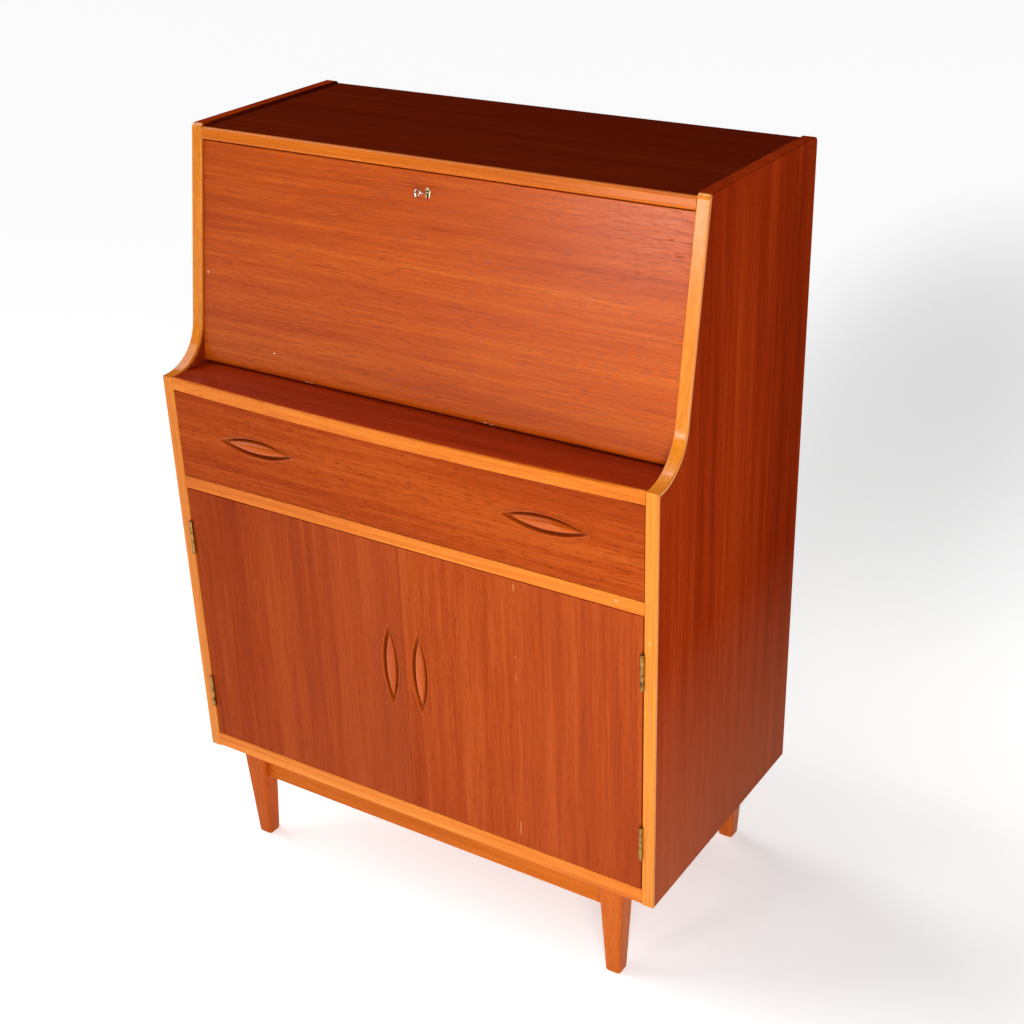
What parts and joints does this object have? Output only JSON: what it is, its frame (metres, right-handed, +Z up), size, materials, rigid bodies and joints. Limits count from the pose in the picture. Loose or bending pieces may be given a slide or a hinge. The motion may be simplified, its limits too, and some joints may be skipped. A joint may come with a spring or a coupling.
{
  "type": "secretary desk",
  "caption": "Upright secretary desk on tapered legs: a raked fall that folds down to write on, a long drawer below it and a two-door cupboard.",
  "frame": {"origin": "on the floor, at the middle of the desk in plan", "axes": "+Z up, front faces -Y, +X to the right of someone sitting at the desk"},
  "size_m": [0.76, 0.4169, 1.07],
  "materials": {
    "teak_veneer": "satin, straight-grained warm red-brown veneer",
    "teak_lipping": "satin, lighter orange solid edge",
    "teak_solid": "satin solid wood",
    "pull_teak": "satin carved solid wood",
    "pale_hardwood": "matte waxed pale hardwood",
    "plywood": "matte plywood",
    "brass": "satin",
    "steel": "satin"
  },
  "bodies": {
    "carcass": {"apron_front": "teak_solid", "apron_rear": "teak_solid", "apron_sides": "teak_solid", "back_panel": "plywood", "bed_panel": "teak_veneer", "bottom_board": "teak_veneer", "bottom_lipping": "teak_lipping", "carcass_screws": "steel", "corner_blocks": "pale_hardwood", "cupboard_shelf": "pale_hardwood", "desk_board": "teak_veneer", "door_catches": "steel", "drawer_runners": "pale_hardwood", "drawer_stops": "pale_hardwood", "dust_board": "teak_veneer", "fall_pivot_pins": "steel", "fall_stop": "pale_hardwood", "hinge_leaves_carcass": "brass", "hinge_pins": "steel", "ledge_lipping": "teak_lipping", "leg_front_left": "teak_solid", "leg_front_right": "teak_solid", "leg_rear_left": "teak_solid", "leg_rear_right": "teak_solid", "mid_rail_lipping": "teak_lipping", "rack_shelf": "pale_hardwood", "rack_uprights": "pale_hardwood", "shelf_pegs": "brass", "side_lipping_left": "teak_lipping", "side_lipping_right": "teak_lipping", "side_panel_left": "teak_veneer", "side_panel_right": "teak_veneer", "stay_studs": "brass", "strike_plate": "brass", "top_lipping": "teak_lipping", "top_panel": "teak_veneer"},
    "fall": {"fall_panel": "teak_veneer", "fall_pivot_bushes": "brass", "lock_case": "brass", "escutcheon": "brass", "stay_brackets": "brass", "fall_screws": "steel"},
    "stay_left": {"stay_bar_left": "brass"},
    "stay_right": {"stay_bar_right": "brass"},
    "key": {"key": "steel"},
    "lock_bolt": {"lock_bolt": "brass"},
    "drawer": {"drawer_front": "teak_veneer", "drawer_pulls": "pull_teak", "drawer_bottom": "plywood", "drawer_side_left": "pale_hardwood", "drawer_side_right": "pale_hardwood", "drawer_back": "pale_hardwood"},
    "door_left": {"door_left": "teak_veneer", "door_pull_left": "pull_teak", "door_hinge_leaves_left": "brass", "door_catch_plate_left": "steel"},
    "door_right": {"door_right": "teak_veneer", "door_pull_right": "pull_teak", "door_hinge_leaves_right": "brass", "door_catch_plate_right": "steel"}
  },
  "joints": [
    {"name": "fall_hinge", "type": "hinge", "parent": "carcass", "child": "fall", "pos_m": [0, -0.12231, 0.762], "axis": [1, 0, 0], "range_deg": [0, 99.5]},
    {"name": "stay_left_rivet", "type": "hinge", "parent": "fall", "child": "stay_left", "pos_m": [-0.3585, -0.08143, 0.90632], "axis": [1, 0, 0], "range_deg": [-49.8, 0]},
    {"name": "stay_right_rivet", "type": "hinge", "parent": "fall", "child": "stay_right", "pos_m": [0.3585, -0.08143, 0.90632], "axis": [1, 0, 0], "range_deg": [-49.8, 0]},
    {"name": "key_turn", "type": "hinge", "parent": "fall", "child": "key", "pos_m": [0, -0.07841, 1.02435], "axis": [0, 0.9863, -0.165], "range_deg": [0, 180]},
    {"name": "bolt_slide", "type": "slide", "parent": "fall", "child": "lock_bolt", "axis": [0, 0.165, 0.9863], "range_m": [0, 0.007]},
    {"name": "drawer_slide", "type": "slide", "parent": "carcass", "child": "drawer", "axis": [0, -1, 0], "range_m": [0, 0.3]},
    {"name": "door_left_hinge", "type": "hinge", "parent": "carcass", "child": "door_left", "pos_m": [-0.362, -0.1993, 0.3825], "axis": [0, 0, -1], "range_deg": [0, 110]},
    {"name": "door_right_hinge", "type": "hinge", "parent": "carcass", "child": "door_right", "pos_m": [0.362, -0.1993, 0.3825], "axis": [0, 0, 1], "range_deg": [0, 110]}
  ],
  "couplings": [
    {"joint": "stay_left_rivet", "follows": "fall_hinge", "ratio": -0.5},
    {"joint": "stay_right_rivet", "follows": "fall_hinge", "ratio": -0.5},
    {"joint": "key_turn", "follows": "bolt_slide", "rad_per_m": 448.7}
  ]
}
